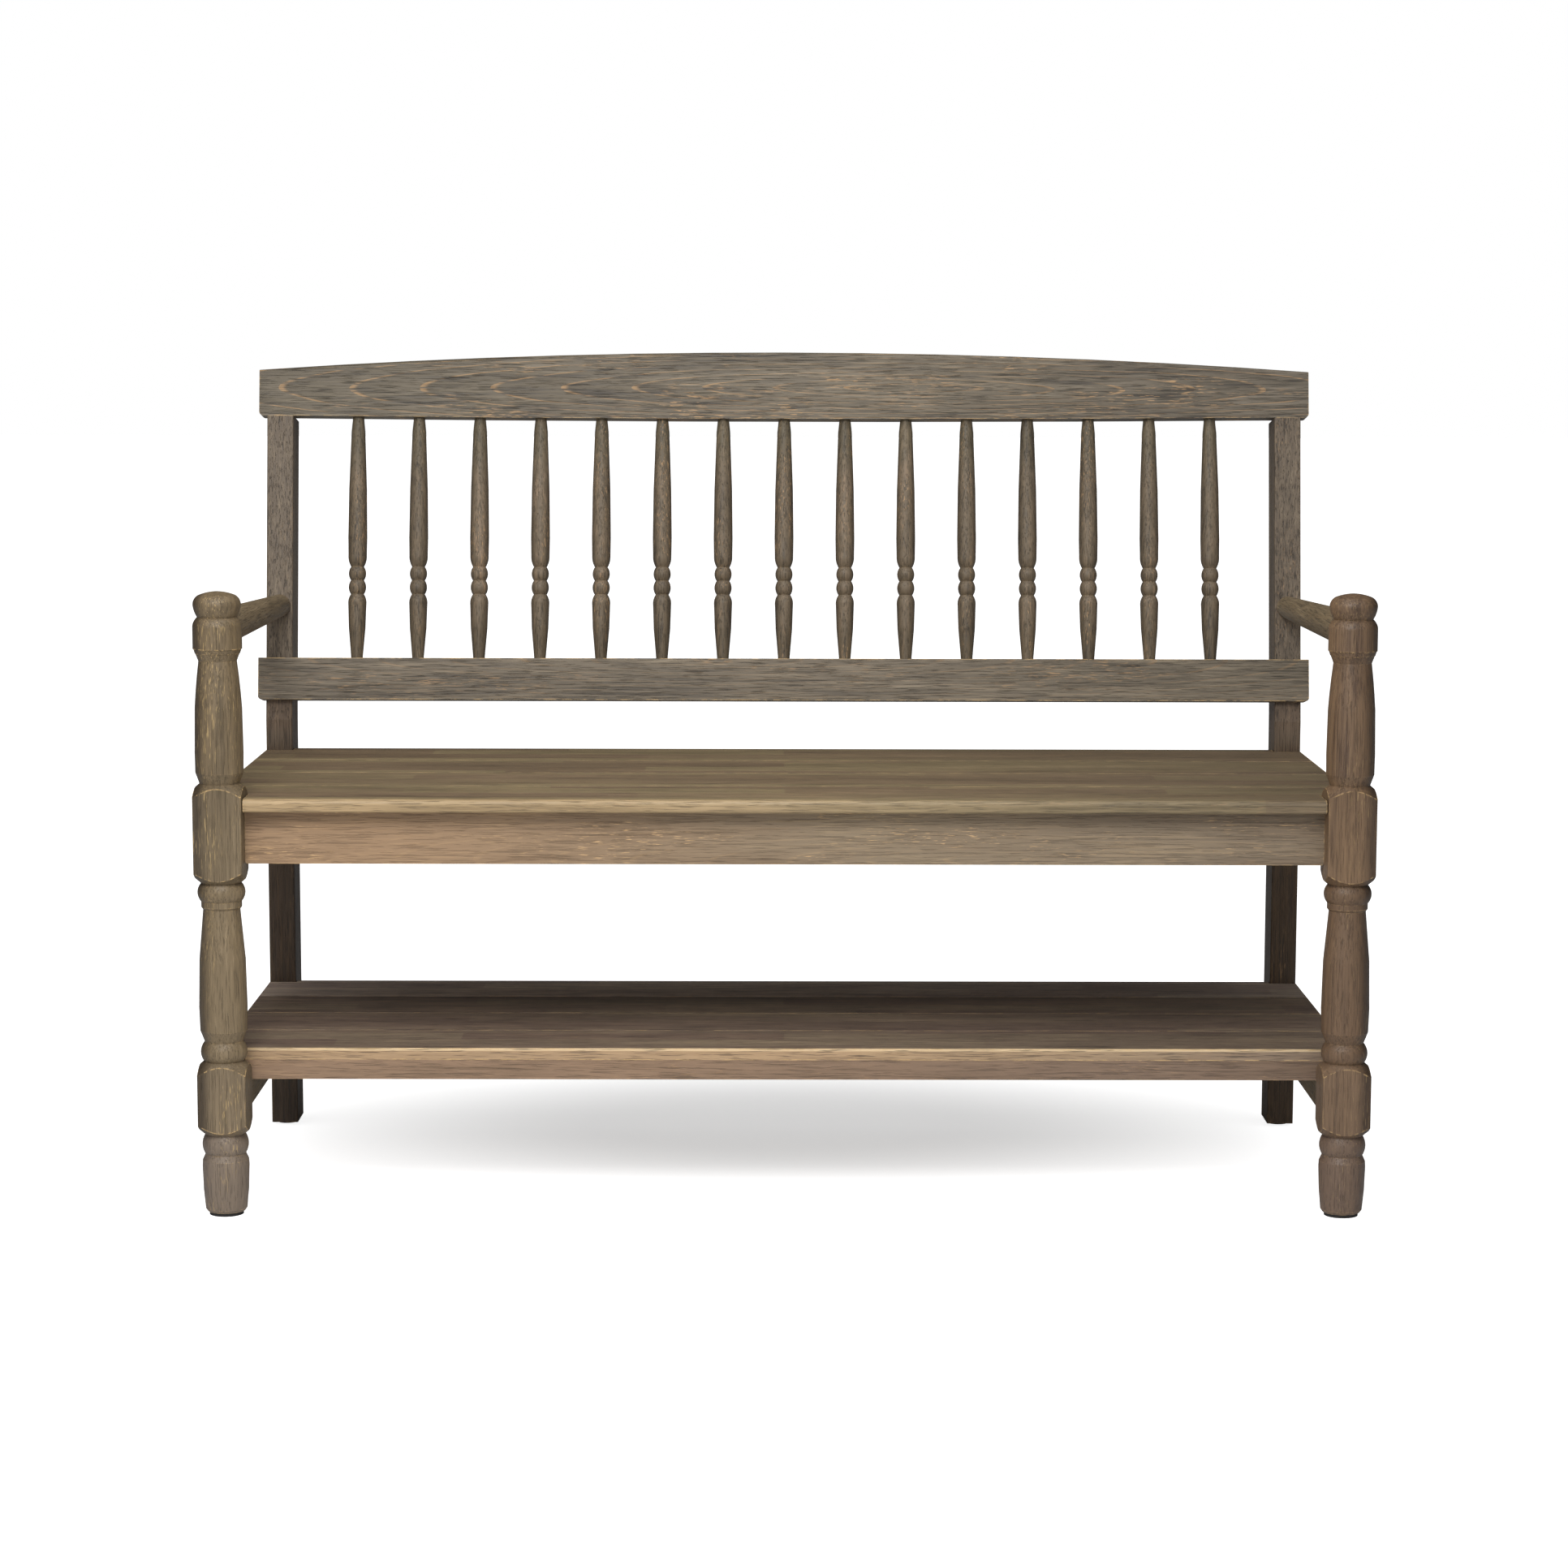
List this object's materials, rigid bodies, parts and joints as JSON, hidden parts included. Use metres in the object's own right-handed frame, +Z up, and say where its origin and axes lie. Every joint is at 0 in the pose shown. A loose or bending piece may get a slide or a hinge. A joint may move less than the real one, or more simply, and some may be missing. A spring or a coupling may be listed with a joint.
{
  "type": "deacons bench",
  "caption": "Wooden bench with a spindle back, turned front legs, round arms, a boarded seat and an open storage shelf below.",
  "frame": {"origin": "on the floor, under the middle of the bench's plan", "axes": "+X along the bench, to the right of someone facing it, +Y from its front to its back, +Z up"},
  "size_m": [1.309, 0.5886, 0.9607],
  "materials": {
    "front_leg_wood": "weathered grey-brown stain, satin",
    "rear_leg_wood": "weathered grey-brown stain, satin",
    "arm_wood": "weathered grey-brown stain, satin",
    "spindle_wood": "weathered grey-brown stain, satin",
    "back_rail_wood": "weathered grey-brown stain, satin",
    "seat_wood": "weathered grey-brown stain, satin",
    "shelf_wood": "weathered grey-brown stain, satin",
    "rail_wood": "weathered grey-brown stain, satin",
    "glide_plastic": "matt"
  },
  "bodies": {
    "root": {"arm_left": "arm_wood", "arm_right": "arm_wood", "crest_rail": "back_rail_wood", "front_glide_left": "glide_plastic", "front_glide_right": "glide_plastic", "front_leg_left": "front_leg_wood", "front_leg_right": "front_leg_wood", "lower_back_rail": "back_rail_wood", "rear_glide_left": "glide_plastic", "rear_glide_right": "glide_plastic", "rear_leg_left": "rear_leg_wood", "rear_leg_right": "rear_leg_wood", "seat_back_rail": "rail_wood", "seat_board_1": "seat_wood", "seat_board_2": "seat_wood", "seat_board_3": "seat_wood", "seat_board_4": "seat_wood", "seat_centre_rail": "rail_wood", "seat_front_apron": "rail_wood", "seat_side_rail_left": "rail_wood", "seat_side_rail_right": "rail_wood", "shelf_back_rail": "rail_wood", "shelf_board_1": "shelf_wood", "shelf_board_2": "shelf_wood", "shelf_board_3": "shelf_wood", "shelf_board_4": "shelf_wood", "shelf_centre_batten": "rail_wood", "shelf_front_rail": "rail_wood", "shelf_side_rail_left": "rail_wood", "shelf_side_rail_right": "rail_wood", "spindle_01": "spindle_wood", "spindle_02": "spindle_wood", "spindle_03": "spindle_wood", "spindle_04": "spindle_wood", "spindle_05": "spindle_wood", "spindle_06": "spindle_wood", "spindle_07": "spindle_wood", "spindle_08": "spindle_wood", "spindle_09": "spindle_wood", "spindle_10": "spindle_wood", "spindle_11": "spindle_wood", "spindle_12": "spindle_wood", "spindle_13": "spindle_wood", "spindle_14": "spindle_wood", "spindle_15": "spindle_wood"}
  },
  "joints": []
}
